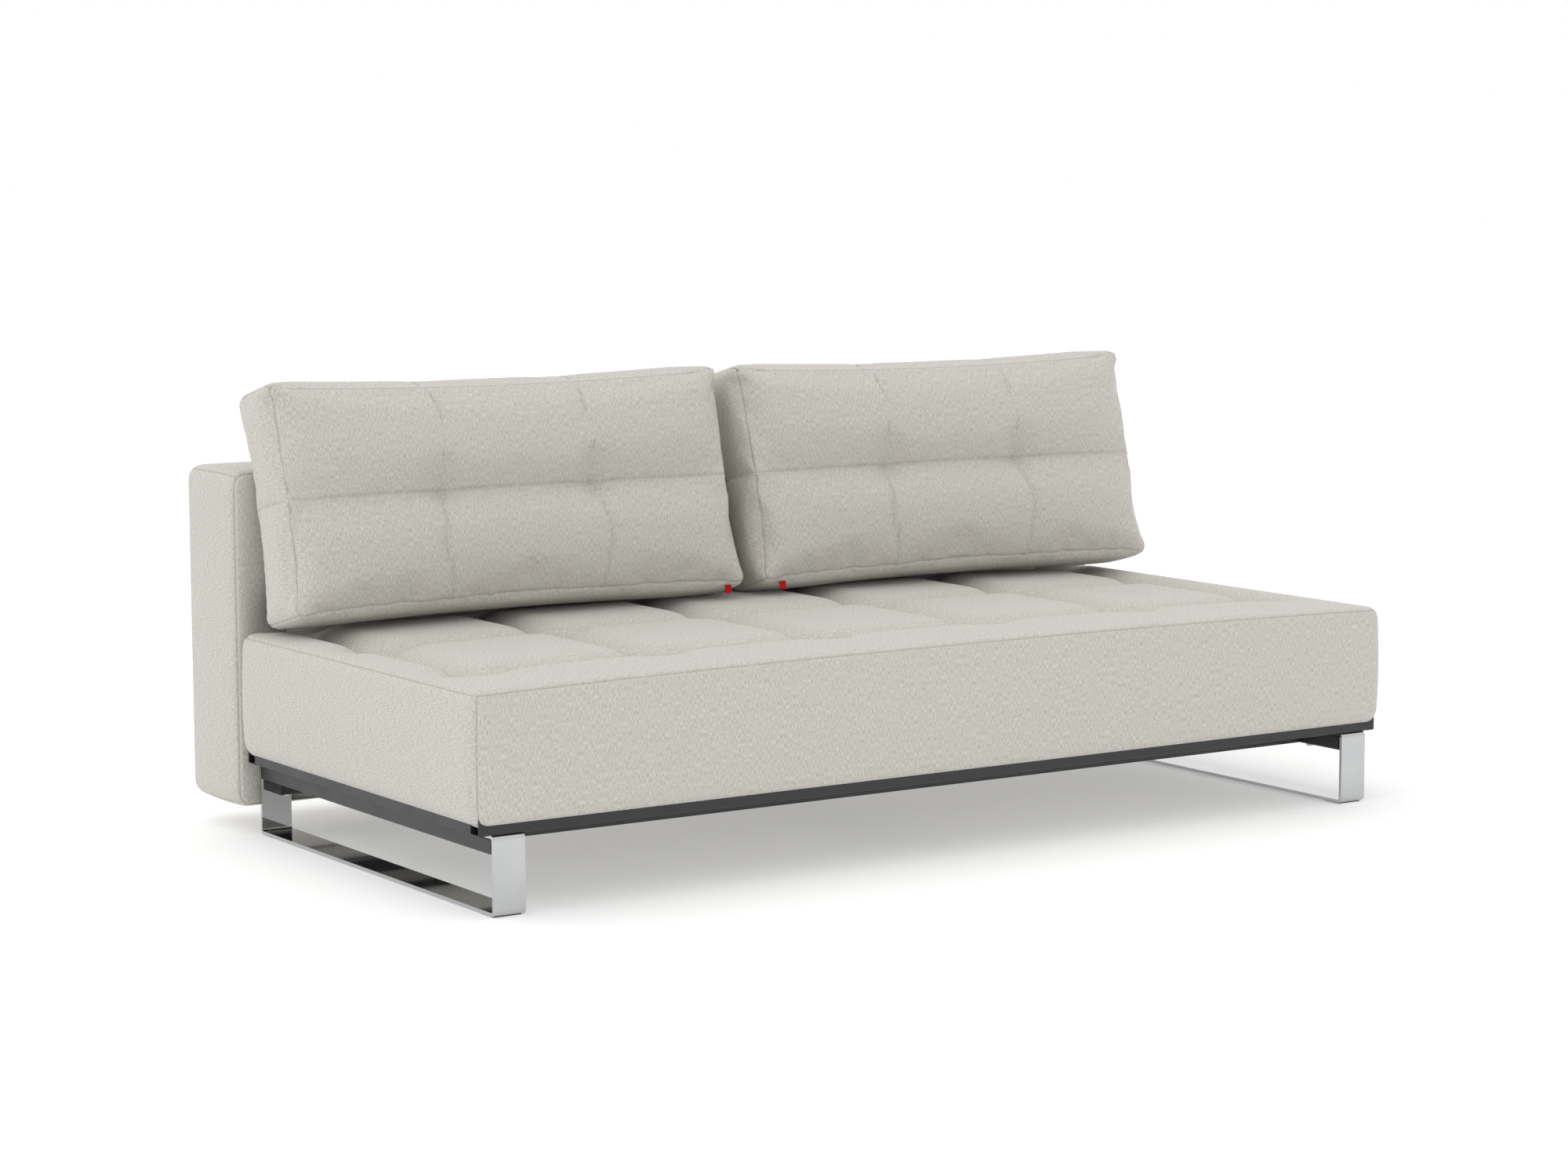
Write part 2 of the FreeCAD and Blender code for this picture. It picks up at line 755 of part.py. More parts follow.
def make_pawl_springs():
    """Leaf springs that hang from the frame tube beside the pawls."""
    top = back_frame_floor()
    y = pawl_at.real + pawl_hub_radius + fit_gap
    leaf = box(arm_in_x + 1, arm_out_x - 1, y, y + spring_leaf_thickness, pawl_at.imag - 6, top)
    foot = box(arm_in_x + 1, arm_out_x - 1, y, y + 14, top - spring_leaf_thickness, top)
    return both_sides(fuse([leaf, foot]))


# Back
def back_local_levels():
    """Levels of the back's outline counted from its rear face. The top edge is the softest."""
    levels = [(rise, inset, inset, inset) for rise, inset in rounded_edge(pad_edge_radius)]
    return levels + [(back_thickness - 34, 0, 1, 3), (back_thickness - 10, 1, 3, 10),
                     (back_thickness, 2, 5, 17), (back_thickness + 16, 5, 9, 30)]


def stand_up(shape):
    """Turn a pad modelled lying on its rear face into the upright back."""
    turned = shape.copy()
    turned.Placement = Placement(Vector(0, back_rear_y, back_bottom_z),
                                 Rotation(Vector(1, 0, 0), 90))
    return turned


def back_pad_form():
    x_knots = tuft_knots(-half_width, half_width, tuft_side_margin, tuft_pitch)
    y_knots = tuft_knots(0, back_height, back_tuft_height, tuft_pitch)
    drops = (tuft_drop, seam_drop, seat_back_gap * 0.2, 0.3)
    block = quilt_block(x_knots, y_knots, -1, back_thickness, drops)
    outline = outline_loft(-half_width, half_width, 0, back_height, pad_corner_radius,
                           back_local_levels())
    return stand_up(block.common(outline))


def back_cavity_top_y():
    return back_front_y + cover_top_wall


def pocket():
    """Open pocket in the bottom of the back for the arm, the seat bracket and their swing."""
    span = (-pocket_out_x, -pocket_in_x)
    low = back_bottom_z - cover_wall
    middle = back_pivot_at.real
    front = box(*span, back_front_y - 40, middle, low, back_bottom_z + pocket_front_height)
    rear = box(*span, middle, back_rear_y + 40, low, back_bottom_z + pocket_rear_height)
    return fuse([front, rear])


def foam_pocket():
    return box(-pocket_out_x, -pocket_in_x, back_front_y, back_rear_y,
               back_bottom_z, back_frame_floor() + back_tube + 8)


def make_back_cover():
    cavity = box(-half_width + back_cover_wall, half_width - back_cover_wall,
                 back_cavity_top_y(), back_rear_y - back_cover_wall,
                 back_bottom_z + back_cover_wall, back_top_z - back_cover_wall)
    left = pocket()
    cover = back_pad.cut(cavity).cut(left).cut(mirrored(left))
    for x, z in leg_bolt_places():
        cover = cover.cut(leg_bolt_hole(x, z))
    return cover


def back_frame_front_y():
    return back_frame_rear_y() - back_tube


def back_frame_rear_y():
    return back_rear_y - back_cover_wall - fit_gap


def back_frame_floor():
    return back_bottom_z + back_frame_bottom


def make_back_frame():
    """Welded frame of square tube: bottom, top, leg bearer, two sides and one middle post."""
    y0, y1 = back_frame_front_y(), back_frame_rear_y()
    x_out = half_width - back_frame_inset
    z0 = back_frame_floor()
    z1 = back_top_z - back_frame_inset
    wall = back_tube_wall
    leg_z = leg_bolt_places()[0][1] - back_tube / 2
    bottom = tube(-x_out, x_out, y0, y1, z0, z0 + back_tube, "x", wall)
    top = tube(-x_out, x_out, y0, y1, z1 - back_tube, z1, "x", wall)
    posts = []
    for x in (-x_out + back_tube / 2, 0, x_out - back_tube / 2):
        post = box(x - back_tube / 2, x + back_tube / 2, y0, y1, z0 + back_tube, z1 - back_tube)
        inner = box(x - back_tube / 2 + wall, x + back_tube / 2 - wall, y0 + wall, y1 - wall,
                    z0, z1)
        posts.append(post.cut(inner))
    bearers = []
    for x0, x1 in ((-x_out + back_tube, -back_tube / 2), (back_tube / 2, x_out - back_tube)):
        bearers.append(tube(x0, x1, y0, y1, leg_z, leg_z + back_tube, "x", wall))
    frame = fuse([bottom, top] + posts + bearers)
    for x, z in leg_bolt_places():
        frame = frame.cut(leg_bolt_hole(x, z))
    return frame


def make_back_springs():
    """Flat zigzag springs between the bottom and the top tube."""
    y = back_frame_front_y() - spring_band - fit_gap
    z0 = back_frame_floor() + back_tube / 2
    z1 = back_top_z - back_frame_inset - back_tube / 2
    rise = (z1 - z0) / spring_turns
    span = 2 * (pocket_in_x - 2 * spring_wave)
    bands = []
    for i in range(spring_count):
        x = -span / 2 + i * span / (spring_count - 1)
        chain = [Vector(x + spring_wave * (-1) ** k, y, z0 + k * rise) for k in range(spring_turns + 1)]
        across = Vector(spring_band, 0, 0)
        outline = chain + [point + across for point in reversed(chain)]
        band = Part.Face(Part.makePolygon(outline + [outline[0]]))
        bands.append(band.extrude(Vector(0, spring_band, 0)))
    return Part.makeCompound(bands)


def make_back_foam():
    """Foam block between the quilted cover and the springs."""
    y0 = back_cavity_top_y() + fit_gap
    y1 = back_frame_front_y() - spring_band - 2 * fit_gap
    inset = back_cover_wall + fit_gap
    block = box(-half_width + inset, half_width - inset, y0, y1, back_bottom_z + inset,
                back_top_z - inset)
    left = foam_pocket()
    return block.cut(left).cut(mirrored(left))


# Support leg
def leg_pivot():
    return complex(back_rear_y + leg_barrel_radius + leg_ear_gap, back_bottom_z + leg_height_on_back)


def leg_length():
    """Pivot to floor when the back lies flat."""
    flat_rear_z = seat_rim_z - back_thickness
    return flat_rear_z - leg_barrel_radius - leg_ear_gap


def make_support_leg():
    """U of flat bar that hangs flat on the rear of the back."""
    at = leg_pivot()
    y0 = at.real - leg_bar_thickness / 2
    y1 = at.real + leg_bar_thickness / 2
    low = at.imag - leg_length() + glide_thickness
    outer = leg_spacing / 2 + leg_bar_width / 2
    inner = leg_spacing / 2 - leg_bar_width / 2

    def place(u, v):
        return Vector(u, y0, v)

    plate = Part.Face(rounded_loop(-outer, outer, low, at.imag + 40, 16, place))
    bar = plate.extrude(Vector(0, y1 - y0, 0))
    window = box(-inner, inner, y0 - 1, y1 + 1, low + leg_bar_width, at.imag + 80)
    crop = box(-outer - 1, outer + 1, y0 - 1, y1 + 1, at.imag, at.imag + 80)
    bar = bar.cut(window).cut(crop)
    pieces = [bar]
    for side in (-1, 1):
        x = side * leg_spacing / 2
        pieces.append(rod_x(at, leg_barrel_radius, x - leg_bar_width / 2, x + leg_bar_width / 2))
    leg = fuse(pieces)
    for side in (-1, 1):
        x = side * leg_spacing / 2
        leg = leg.cut(rod_x(at, leg_pin_radius + pivot_clearance, x - leg_bar_width, x + leg_bar_width))
    return leg


def make_support_leg_feet():
    """Rubber strips under the floor bar of the support leg."""
    at = leg_pivot()
    low = at.imag - leg_length()
    feet = []
    for side in (-1, 1):
        x = side * (leg_spacing / 2 - leg_foot_length / 2)
        feet.append(box(x - leg_foot_length / 2, x + leg_foot_length / 2,
                        at.real - leg_bar_thickness / 2, at.real + leg_bar_thickness / 2,
                        low, low + glide_thickness))
    return Part.makeCompound(feet)


def leg_ear_spans(side):
    """Near and far X of the two ears of one hinge bracket."""
    x = side * leg_spacing / 2
    near = leg_bar_width / 2 + leg_ear_gap
    far = near + leg_ear_thickness
    return ((x - far, x - near), (x + near, x + far))


def make_leg_brackets():
    """Two hinge brackets on the rear of the back, each a strap with two ears."""
    at = leg_pivot()
    strap_z = at.imag + leg_barrel_radius + 2
    brackets = []
    for side in (-1, 1):
        ears = leg_ear_spans(side)
        pieces = [box(ears[0][0], ears[1][1], back_rear_y, back_rear_y + leg_strap_thickness,
                      strap_z, strap_z + leg_strap_height)]
        for lo, hi in ears:
            pieces.append(box(lo, hi, back_rear_y, at.real, at.imag - leg_barrel_radius,
                              strap_z + leg_barrel_radius))
            pieces.append(rod_x(at, leg_barrel_radius, lo, hi))
        bracket = fuse(pieces)
        bracket = bracket.cut(pivot_bore(at, leg_pin_radius, ears[0][0], ears[1][1]))
        brackets.append(bracket)
    both = Part.makeCompound(brackets)
    for x, z in leg_bolt_places():
        both = both.cut(leg_bolt_hole(x, z))
    return both


def leg_bolt_places():
    z = leg_pivot().imag + leg_barrel_radius + 2 + leg_strap_height * 0.6
    return [(side * leg_spacing / 2 + offset, z) for side in (-1, 1) for offset in (-12, 12)]


def leg_bolt_hole(x, z):
    y0 = back_frame_rear_y() - back_tube_wall - 1
    return Part.makeCylinder(bolt_radius + bolt_hole_gap, back_rear_y + leg_strap_thickness + 1 - y0,
                             Vector(x, y0, z), Vector(0, 1, 0))


def make_leg_bolts():
    seat_y = back_rear_y + leg_strap_thickness
    length = seat_y - back_frame_rear_y() + back_tube_wall + 3
    bolts = [hex_bolt(Vector(x, seat_y, z), Vector(0, -1, 0), length) for x, z in leg_bolt_places()]
    return Part.makeCompound(bolts)


def make_leg_pins():
    at = leg_pivot()
    pins = []
    for side in (-1, 1):
        ears = leg_ear_spans(side)
        pins.append(rod_x(at, leg_pin_radius, ears[0][0], ears[1][1]))
    return Part.makeCompound(pins)


# Cushions
def settle(form, obstacle, heading):
    """Slide a form along heading until it all but touches the obstacle."""
    for step in range(3):
        gap = form.distToShape(obstacle)[0]
        form.translate(heading * (gap - fit_gap))


def cushion_placement(centre_x):
    """Lean the cushion on the top edge of the back, then let it down on the seat."""
    form = cushion_form()
    start = Vector(centre_x, back_front_y - cushion_start_gap, seat_rim_z + 2 * panel_crown)
    form.Placement = Placement(start, Rotation(Vector(1, 0, 0), 90 - cushion_lean_deg))
    for step in range(2):
        settle(form, seat_pad, Vector(0, 0, -1))
        settle(form, back_pad, Vector(0, 1, 0))
    return form.Placement


def cushion_form():
    x_knots = [-cushion_width / 2, -cushion_width / 6, cushion_width / 6, cushion_width / 2]
    y_knots = [0, cushion_height / 2, cushion_height]
    drops = (cushion_tuft_drop, -cushion_seam_rise, cushion_crown, edge_rise)
    block = quilt_block(x_knots, y_knots, 0, cushion_gusset, drops,
                        cushion_rear_share)
    levels = ((-cushion_crown - 2, 14, 14, 14), (0, 3, 3, 3), (cushion_gusset / 2, 0, 0, 0),
              (cushion_gusset, 3, 3, 3), (cushion_gusset + cushion_crown + 2, 14, 14, 14))
    outline = outline_loft(-cushion_width / 2, cushion_width / 2, 0, cushion_height, 20, levels,
                           -cushion_draw_in, -cushion_draw_in)
    return block.common(outline)


def cushion_core_box(gap):
    inset = cushion_wall + cushion_draw_in + gap
    return box(-cushion_width / 2 + inset, cushion_width / 2 - inset, inset, cushion_height - inset,
               cushion_wall + gap, cushion_gusset - cushion_wall - gap)


def placed(shape, placement):
    moved = shape.copy()
    moved.Placement = placement
    return moved


def make_cushion_cover(placement):
    return placed(cushion_form().cut(cushion_core_box(0)), placement)


def make_cushion_insert(placement):
    return placed(cushion_core_box(fit_gap), placement)


def make_cushion_tab(placement, inner_side):
    """Plain fabric tab sewn in the bottom front seam near the inner corner."""
    x = inner_side * (cushion_width / 2 - 45)
    tab = box(x - tab_width / 2, x + tab_width / 2, -tab_length + 4, 6 - fit_gap,
              cushion_gusset - tab_thickness - 6, cushion_gusset - 6)
    body = cushion_form()
    return placed(tab.cut(body), placement)


def export(name, shape):
    shape.exportStep("parts/" + name + ".step")


seat_pad = seat_pad_form()
back_pad = back_pad_form()


def main():
    os.makedirs("parts", exist_ok=True)
    left_place = cushion_placement(left_cushion_x)
    right_place = cushion_placement(right_cushion_x)
    pairs = {
        "side_rail": make_left_side_rail(),
        "lift_arm": make_left_arm(),
        "pawl": make_left_pawl(),
    }
    for name, shape in pairs.items():
        export("left_" + name, shape)
        export("right_" + name, mirrored(shape))
    singles = {
        "left_sled": make_sled(-1),
        "right_sled": make_sled(1),
        "sled_glides": make_sled_glides(),
        "front_rail": make_front_rail(),
        "middle_rail": make_middle_rail(),
        "rear_tube": make_rear_tube(),
        "rear_tube_caps": make_rear_tube_caps(),
        "pivot_brackets": make_pivot_brackets(),
        "seat_pins": make_seat_pins(),
        "hinge_brackets": make_hinge_brackets(),
        "hinge_pins": make_hinge_pins(),
        "pawl_springs": make_pawl_springs(),
        "frame_bolts": make_frame_bolts(),
        "seat_frame_front": make_seat_frame_front(),
        "seat_frame_rear": make_seat_frame_rear(),
        "seat_frame_ends": make_seat_frame_ends(),
        "seat_frame_bearers": make_seat_frame_bearers(),
        "seat_slats": make_slats(),
        "slat_holders": make_slat_holders(),
        "seat_lining": make_seat_lining(),
        "seat_foam": make_seat_foam(),
        "seat_cover": make_seat_cover(),
        "back_frame": make_back_frame(),
        "back_springs": make_back_springs(),
        "back_foam": make_back_foam(),
        "back_cover": make_back_cover(),
        "leg_brackets": make_leg_brackets(),
        "leg_pins": make_leg_pins(),
        "leg_bolts": make_leg_bolts(),
        "support_leg": make_support_leg(),
        "support_leg_feet": make_support_leg_feet(),
        "left_cushion_cover": make_cushion_cover(left_place),
        "left_cushion_insert": make_cushion_insert(left_place),
        "left_cushion_tab": make_cushion_tab(left_place, 1),
        "right_cushion_cover": make_cushion_cover(right_place),
        "right_cushion_insert": make_cushion_insert(right_place),
        "right_cushion_tab": make_cushion_tab(right_place, -1),
    }
    for name, shape in singles.items():
        export(name, shape)


main()
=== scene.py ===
"""Looks of the click clack sofa bed: upholstery, cushions, seams, finishes, camera and light.

Metres, in the row frame: +X to the sitter's left, the front faces -Y, +Z up.
"""

import json
import math

import bpy
import numpy as np
from mathutils import Matrix, Vector


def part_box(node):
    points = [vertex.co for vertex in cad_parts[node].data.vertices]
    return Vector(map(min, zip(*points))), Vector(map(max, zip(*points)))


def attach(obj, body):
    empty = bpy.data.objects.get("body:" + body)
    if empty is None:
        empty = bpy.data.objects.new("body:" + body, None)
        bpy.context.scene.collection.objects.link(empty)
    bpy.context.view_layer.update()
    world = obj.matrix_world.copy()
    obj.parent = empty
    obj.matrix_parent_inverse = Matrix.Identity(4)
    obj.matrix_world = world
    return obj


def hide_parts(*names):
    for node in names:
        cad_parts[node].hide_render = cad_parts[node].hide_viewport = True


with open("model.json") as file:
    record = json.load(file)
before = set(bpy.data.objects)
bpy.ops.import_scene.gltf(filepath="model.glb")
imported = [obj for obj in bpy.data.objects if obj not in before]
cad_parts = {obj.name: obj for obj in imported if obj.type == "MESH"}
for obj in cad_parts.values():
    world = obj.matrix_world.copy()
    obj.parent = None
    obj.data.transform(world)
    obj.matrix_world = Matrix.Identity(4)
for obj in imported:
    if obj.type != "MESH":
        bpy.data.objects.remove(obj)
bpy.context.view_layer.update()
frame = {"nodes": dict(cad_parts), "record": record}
nodes = frame["nodes"]

MM = 0.001

# Places taken from the frame
SEAT_LOW, SEAT_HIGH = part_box("seat_cover")
BACK_LOW, BACK_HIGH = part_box("back_cover")
SEAT_FRONT = SEAT_LOW.y
SEAT_REAR = SEAT_HIGH.y
SEAT_BOTTOM = SEAT_LOW.z
HALF_WIDTH = SEAT_HIGH.x
BACK_FRONT = SEAT_REAR + 5 * MM
BACK_REAR = BACK_HIGH.y
BACK_BOTTOM = BACK_LOW.z
BACK_TOP = BACK_HIGH.z

# Quilting
RIM_Z = 378 * MM
PITCH = 352 * MM
TUFT_COLUMNS = [PITCH * (i - 2.5) for i in range(6)]
TUFT_ROWS = [SEAT_FRONT + 227.5 * MM, SEAT_FRONT + 579.5 * MM]
BACK_TUFT_HEIGHT = 361 * MM

# Cushions
CUSHION_W = 966 * MM
CUSHION_H = 438 * MM
CUSHION_T = 140 * MM
LEAN = math.radians(14)
LEFT_CUSHION_X = -0.491
RIGHT_CUSHION_X = 0.511

# Grids of the soft pieces: spacing over the faces and up the walls
FACE_STEP = 0.011
WALL_STEP = 0.010
SEAM_OFFSETS = (0.0012, 0.003, 0.007)

# Quilting: how deep seams and tufts are drawn in, and how far that reaches
SEAM_DRAW = 0.024
SEAM_DRAW_NEAR_TUFT = 0.018
NEAR_TUFT = 0.055
SEAM_REACH = 0.062
TUFT_DRAW = 0.044
TUFT_REACH = 0.1
SEAM_RUN_IN = 0.06
SEAM_RUN_OUT = 0.01
SEAM_END_X = 0.885
BEYOND_EDGE = 0.010
FLAT_RIM = 0.05
RIM_SHARE = 0.35
STITCH_WIDTH = 0.0016
STITCH_DEPTH = 0.0022
EDGE_SEAM_WIDTH = 0.0022
EDGE_SEAM_DEPTH = 0.0024

# Edges and swell of the seat and the back
BELLY = 0.004
SEAT_CORNER_RADIUS = 0.034
SEAT_FOOT_RADIUS = 0.033
SEAT_RIM_RADIUS = 0.020
SEAT_RIM_LIFT = 0.011
SEAT_CROWN = 0.004
CROWN_REACH = 0.10
BACK_CORNER_RADIUS = 0.03
BACK_REAR_RADIUS = 0.03
BACK_RIM_RADIUS = 0.018
BACK_CROWN = 0.002

# Edges, swell and pleats of the cushions
CUSHION_CORNER_RADIUS = 0.024
CUSHION_REAR_RADIUS = 0.02
CUSHION_RIM_RADIUS = 0.016
CUSHION_SWELL = 0.034
CUSHION_REAR_SWELL = 0.010
CUSHION_SAG = 0.010
CUSHION_DRAW_IN = 0.012
CUSHION_SEAM_DRAW = 0.022
CUSHION_SEAM_REACH = 0.11
CUSHION_TUFT_DRAW = 0.020
CUSHION_TUFT_REACH = 0.075
PLEAT_BENDS = (0.012, -0.012)
INSIDE_CAD = 0.001

# Cloth run that fills the cushions out
CLOTH_PRESSURE = 2.0
CLOTH_GROWTH = 0.014
CLOTH_FRAMES = 14
CLOTH_LIMIT = 0.010

# Camera of the photograph
CAMERA_AT = Vector((-3.69527, -5.57640, 1.22517))
CAMERA_YAW = 0.583309
CAMERA_PITCH = 0.118690
CAMERA_ROLL = -0.0029117
FOCAL_PX = 4497.585
PHOTO_WIDTH_PX = 2000
SENSOR_MM = 36.0

# Studio
FLOOR_REACH = 30.0
FLOOR_GREY = 0.74
FLOOR_GLOW = 0.3
KEY_STRENGTH = 0.55
KEY_ANGLE = math.radians(70)
KEY_HEADING = Vector((0.45, -0.4, -1.0))


# Small node helpers
def new_material(name):
    material = bpy.data.materials.new(name)
    material.use_nodes = True
    tree = material.node_tree
    return material, tree, tree.nodes["Principled BSDF"]


def add(tree, kind, **settings):
    node = tree.nodes.new(kind)
    for key, value in settings.items():
        setattr(node, key, value)
    return node


def feed(tree, socket, source):
    """Connect a socket to an output, or set it to a plain value."""
    if isinstance(source, bpy.types.NodeSocket):
        tree.links.new(source, socket)
    else:
        socket.default_value = source


def maths(tree, operation, a, b=0.0, clamp=False):
    node = add(tree, "ShaderNodeMath", operation=operation, use_clamp=clamp)
    feed(tree, node.inputs[0], a)
    feed(tree, node.inputs[1], b)
    return node.outputs[0]


def noise(tree, vector, scale, detail=2.0, roughness=0.5):
    node = add(tree, "ShaderNodeTexNoise")
    feed(tree, node.inputs["Vector"], vector)
    node.inputs["Scale"].default_value = scale
    node.inputs["Detail"].default_value = detail
    node.inputs["Roughness"].default_value = roughness
    return node.outputs["Fac"]


def ramp(tree, value, low, high, to_low=0.0, to_high=1.0):
    node = add(tree, "ShaderNodeMapRange")
    feed(tree, node.inputs["Value"], value)
    node.inputs["From Min"].default_value = low
    node.inputs["From Max"].default_value = high
    node.inputs["To Min"].default_value = to_low
    node.inputs["To Max"].default_value = to_high
    return node.outputs["Result"]


def blend_colour(tree, factor, a, b):
    node = add(tree, "ShaderNodeMix", data_type="RGBA")
    feed(tree, node.inputs["Factor"], factor)
    feed(tree, node.inputs["A"], a)
    feed(tree, node.inputs["B"], b)
    return node.outputs["Result"]


def bump(tree, height, distance, strength, normal=None):
    node = add(tree, "ShaderNodeBump")
    node.inputs["Distance"].default_value = distance
    node.inputs["Strength"].default_value = strength
    feed(tree, node.inputs["Height"], height)
    if normal is not None:
        feed(tree, node.inputs["Normal"], normal)
    return node.outputs["Normal"]


def srgb(r, g, b):
    """Linear colour from 8-bit display values."""
    def linear(v):
        v /= 255
        return v / 12.92 if v <= 0.04045 else ((v + 0.055) / 1.055) ** 2.4
    return (linear(r), linear(g), linear(b), 1.0)


# Fabric: threads run up the front faces, and front to back on the top and the ends
def thread_vector(tree, across, along):
    """Coordinates with `across` cycles a metre over the threads and `along` cycles down them."""
    coord = add(tree, "ShaderNodeTexCoord")
    place = add(tree, "ShaderNodeSeparateXYZ")
    facing = add(tree, "ShaderNodeSeparateXYZ")
    tree.links.new(coord.outputs["Object"], place.inputs[0])
    tree.links.new(coord.outputs["Normal"], facing.inputs[0])
    on_end = maths(tree, "GREATER_THAN", maths(tree, "ABSOLUTE", facing.outputs["X"]), 0.72)
    on_front = maths(tree, "GREATER_THAN", maths(tree, "ABSOLUTE", facing.outputs["Y"]), 0.72)

    def pick(mask, yes, no):
        node = add(tree, "ShaderNodeMix", data_type="FLOAT")
        feed(tree, node.inputs["Factor"], mask)
        feed(tree, node.inputs["A"], no)
        feed(tree, node.inputs["B"], yes)
        return node.outputs["Result"]

    over = pick(on_end, place.outputs["Z"], place.outputs["X"])
    down = pick(on_front, place.outputs["Z"], place.outputs["Y"])
    vector = add(tree, "ShaderNodeCombineXYZ")
    feed(tree, vector.inputs["X"], maths(tree, "MULTIPLY", over, across))
    feed(tree, vector.inputs["Y"], maths(tree, "MULTIPLY", down, along))
    feed(tree, vector.inputs["Z"], maths(tree, "MULTIPLY", on_end, 7.0))
    return vector.outputs[0]


def upholstery_material():
    material, tree, shader = new_material("upholstery")
    slub = noise(tree, thread_vector(tree, 640.0, 120.0), 1.0, 2.0, 0.55)
    weft = noise(tree, thread_vector(tree, 260.0, 900.0), 1.0, 1.0, 0.5)
    grain = noise(tree, thread_vector(tree, 1500.0, 1500.0), 1.0, 1.0, 0.5)
    tone = maths(tree, "ADD", maths(tree, "MULTIPLY", slub, 0.62), maths(tree, "MULTIPLY", weft, 0.2))
    tone = maths(tree, "ADD", tone, maths(tree, "MULTIPLY", grain, 0.18))
    factor = ramp(tree, tone, 0.36, 0.64)
    colour = blend_colour(tree, factor, srgb(170, 167, 159), srgb(214, 211, 204))
    feed(tree, shader.inputs["Base Color"], colour)
    feed(tree, shader.inputs["Normal"], bump(tree, tone, 0.0009, 0.5))
    shader.inputs["Roughness"].default_value = 0.92
    shader.inputs["Specular IOR Level"].default_value = 0.2
    shader.inputs["Sheen Weight"].default_value = 0.18
    shader.inputs["Sheen Roughness"].default_value = 0.5
    return material


def woven_material(name, dark, light, scale):
    material, tree, shader = new_material(name)
    coord = add(tree, "ShaderNodeTexCoord").outputs["Object"]
    grain = noise(tree, coord, scale, 3.0, 0.6)
    feed(tree, shader.inputs["Base Color"], blend_colour(tree, ramp(tree, grain, 0.35, 0.65), dark, light))
    feed(tree, shader.inputs["Normal"], bump(tree, grain, 0.0006, 0.6))
    shader.inputs["Roughness"].default_value = 0.9
    shader.inputs["Specular IOR Level"].default_value = 0.2
    return material


def metal_material(name, colour, roughness, brushed=0.0):
    material, tree, shader = new_material(name)
    coord = add(tree, "ShaderNodeTexCoord").outputs["Object"]
    stretch = add(tree, "ShaderNodeMapping")
    stretch.inputs["Scale"].default_value = (1.0, 0.05, 1.0)
    feed(tree, stretch.inputs["Vector"], coord)
    wear = noise(tree, coord, 9.0, 4.0, 0.6)
    lines = noise(tree, stretch.outputs[0], 900.0, 2.0, 0.5)
    rough = ramp(tree, wear, 0.3, 0.7, roughness * 0.8, roughness * 1.25)
    feed(tree, shader.inputs["Roughness"], rough)
    darker = tuple(c * 0.93 for c in colour[:3]) + (1.0,)
    feed(tree, shader.inputs["Base Color"], blend_colour(tree, ramp(tree, wear, 0.35, 0.65), darker, colour))
    if brushed:
        feed(tree, shader.inputs["Normal"], bump(tree, lines, 0.0002, brushed))
    shader.inputs["Metallic"].default_value = 1.0
    return material


def powder_coat_material(name, colour, roughness=0.38):
    material, tree, shader = new_material(name)
    coord = add(tree, "ShaderNodeTexCoord").outputs["Object"]
    peel = noise(tree, coord, 700.0, 2.0, 0.5)
    patches = noise(tree, coord, 14.0, 3.0, 0.6)
    feed(tree, shader.inputs["Normal"], bump(tree, peel, 0.0003, 0.25))
    feed(tree, shader.inputs["Roughness"], ramp(tree, patches, 0.3, 0.7, roughness * 0.85, roughness * 1.2))
    lighter = tuple(min(1.0, c * 1.3 + 0.002) for c in colour[:3]) + (1.0,)
    mixed = blend_colour(tree, ramp(tree, patches, 0.3, 0.7), colour, lighter)
    feed(tree, shader.inputs["Base Color"], mixed)
    shader.inputs["Specular IOR Level"].default_value = 0.5
    return material


def wood_material():
    material, tree, shader = new_material("beech")
    coord = add(tree, "ShaderNodeTexCoord").outputs["Object"]
    stretch = add(tree, "ShaderNodeMapping")
    stretch.inputs["Scale"].default_value = (1.0, 0.06, 1.0)
    feed(tree, stretch.inputs["Vector"], coord)
    grain = noise(tree, stretch.outputs[0], 160.0, 5.0, 0.65)
    fleck = noise(tree, stretch.outputs[0], 900.0, 2.0, 0.5)
    tone = maths(tree, "ADD", maths(tree, "MULTIPLY", grain, 0.75), maths(tree, "MULTIPLY", fleck, 0.25))
    colour = blend_colour(tree, ramp(tree, tone, 0.35, 0.65), srgb(178, 138, 92), srgb(218, 184, 138))
    feed(tree, shader.inputs["Base Color"], colour)
    feed(tree, shader.inputs["Normal"], bump(tree, tone, 0.0004, 0.4))
    shader.inputs["Roughness"].default_value = 0.5
    return material


def make_materials():
    return {
        "upholstery": upholstery_material(),
        "red_fabric": woven_material("red_fabric", srgb(140, 10, 16), srgb(196, 24, 30), 1400.0),
        "lining": woven_material("lining", srgb(18, 18, 20), srgb(38, 38, 41), 900.0),
        "foam": woven_material("foam", srgb(214, 205, 176), srgb(238, 230, 206), 500.0),
        "cushion_fill": woven_material("cushion_fill", srgb(226, 224, 218), srgb(246, 245, 242), 300.0),
        "chrome": metal_material("chrome", srgb(194, 195, 196), 0.04),
        "black_steel": powder_coat_material("black_steel", srgb(30, 30, 32)),
        "zinc_steel": metal_material("zinc_steel", srgb(178, 180, 182), 0.3, 0.35),
        "beech": wood_material(),
        "black_plastic": powder_coat_material("black_plastic", srgb(26, 26, 27), 0.55),
        "black_rubber": powder_coat_material("black_rubber", srgb(20, 20, 20), 0.8),
    }


